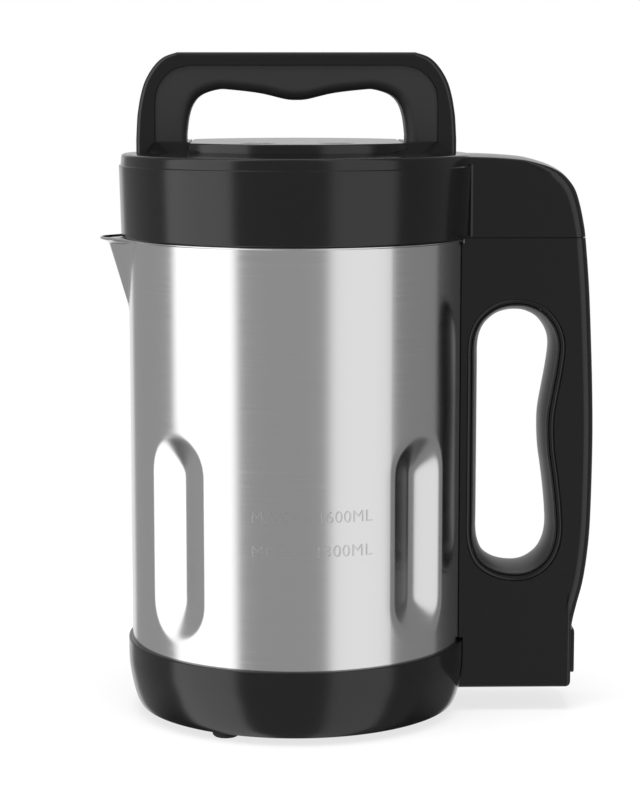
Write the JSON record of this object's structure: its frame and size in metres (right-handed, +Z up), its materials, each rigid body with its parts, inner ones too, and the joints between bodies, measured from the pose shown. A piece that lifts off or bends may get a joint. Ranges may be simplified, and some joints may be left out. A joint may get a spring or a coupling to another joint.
{
  "type": "heated blender",
  "caption": "Steel jug blender that heats, with a closed side handle, a heated base and a lift-off motor head carrying the blade, a top control panel and an arched carrying handle.",
  "frame": {"origin": "on the table, under the middle of the object's bounding box", "axes": "+Z up along the jug's axis, +X from the spout to the side handle, +Y away from the side that the picture shows"},
  "size_m": [0.2322, 0.1668, 0.3122],
  "materials": {
    "brushed_steel": "fine horizontal brushing",
    "polished_steel": "polished",
    "gloss_black": "gloss",
    "satin_black": "satin",
    "rubber_black": "matt",
    "grey_plastic": "satin",
    "cast_aluminium": "as cast",
    "brass": "polished",
    "copper": "bare copper",
    "iron_laminate": "stacked sheet, varnished",
    "carbon": "pressed carbon",
    "circuit_green": "coated board",
    "silicone_grey": "matt",
    "lead_insulation": "satin"
  },
  "bodies": {
    "jug_body": {"jug_pot": "brushed_steel", "base_ring": "gloss_black", "base_plate": "satin_black", "rubber_foot_1": "rubber_black", "rubber_foot_2": "rubber_black", "rubber_foot_3": "rubber_black", "base_screw_1": "polished_steel", "base_screw_2": "polished_steel", "base_screw_3": "polished_steel", "heater_plate": "cast_aluminium", "heating_element": "polished_steel", "thermostat": "grey_plastic", "handle_front_half": "gloss_black", "handle_rear_half": "gloss_black", "finger_liner": "satin_black", "handle_bracket_lower": "polished_steel", "handle_bracket_upper": "polished_steel", "handle_screw_1": "polished_steel", "handle_screw_2": "polished_steel", "handle_screw_3": "polished_steel", "jug_connector": "grey_plastic", "power_inlet": "satin_black", "inlet_pin_live": "brass", "inlet_pin_neutral": "brass", "inlet_pin_earth": "brass", "inlet_lead": "lead_insulation", "heater_lead": "lead_insulation"},
    "head_body": {"head_screw_1": "polished_steel", "head_screw_2": "polished_steel", "head_screw_3": "polished_steel", "motor_cup": "polished_steel", "overflow_probe": "polished_steel", "temperature_probe": "polished_steel", "upper_bearing": "polished_steel", "lower_bearing": "polished_steel", "head_shell": "gloss_black", "top_panel": "gloss_black", "carry_handle_frame": "gloss_black", "head_base": "satin_black", "carry_handle_grip": "satin_black", "shaft_seal": "rubber_black", "head_connector": "grey_plastic", "motor_frame": "grey_plastic", "connector_pin_1": "brass", "connector_pin_2": "brass", "connector_pin_3": "brass", "shaft_bush": "brass", "motor_stator": "iron_laminate", "carbon_brush_left": "carbon", "carbon_brush_right": "carbon", "control_board": "circuit_green", "head_seal": "silicone_grey"},
    "rotor_body": {"motor_shaft": "polished_steel", "armature": "copper", "commutator": "copper", "cooling_fan": "grey_plastic", "blade": "polished_steel", "blade_nut": "polished_steel"},
    "start_button_body": {"start_button": "satin_black"},
    "mode_button_body": {"mode_button": "satin_black"}
  },
  "joints": [
    {"name": "head_lift", "type": "slide", "parent": "jug_body", "child": "head_body", "axis": [0, 0, 1], "range_m": [0, 0.21]},
    {"name": "rotor_spin", "type": "hinge", "parent": "head_body", "child": "rotor_body", "pos_m": [-0.02385, 0, 0.2], "axis": [0, 0, 1], "continuous": true},
    {"name": "start_press", "type": "slide", "parent": "head_body", "child": "start_button_body", "axis": [0, 0, -1], "range_m": [0, 0.001], "stiffness_N_per_m": 500, "springref_m": -0.0005},
    {"name": "mode_press", "type": "slide", "parent": "head_body", "child": "mode_button_body", "axis": [0, 0, -1], "range_m": [0, 0.001], "stiffness_N_per_m": 500, "springref_m": -0.0005}
  ]
}
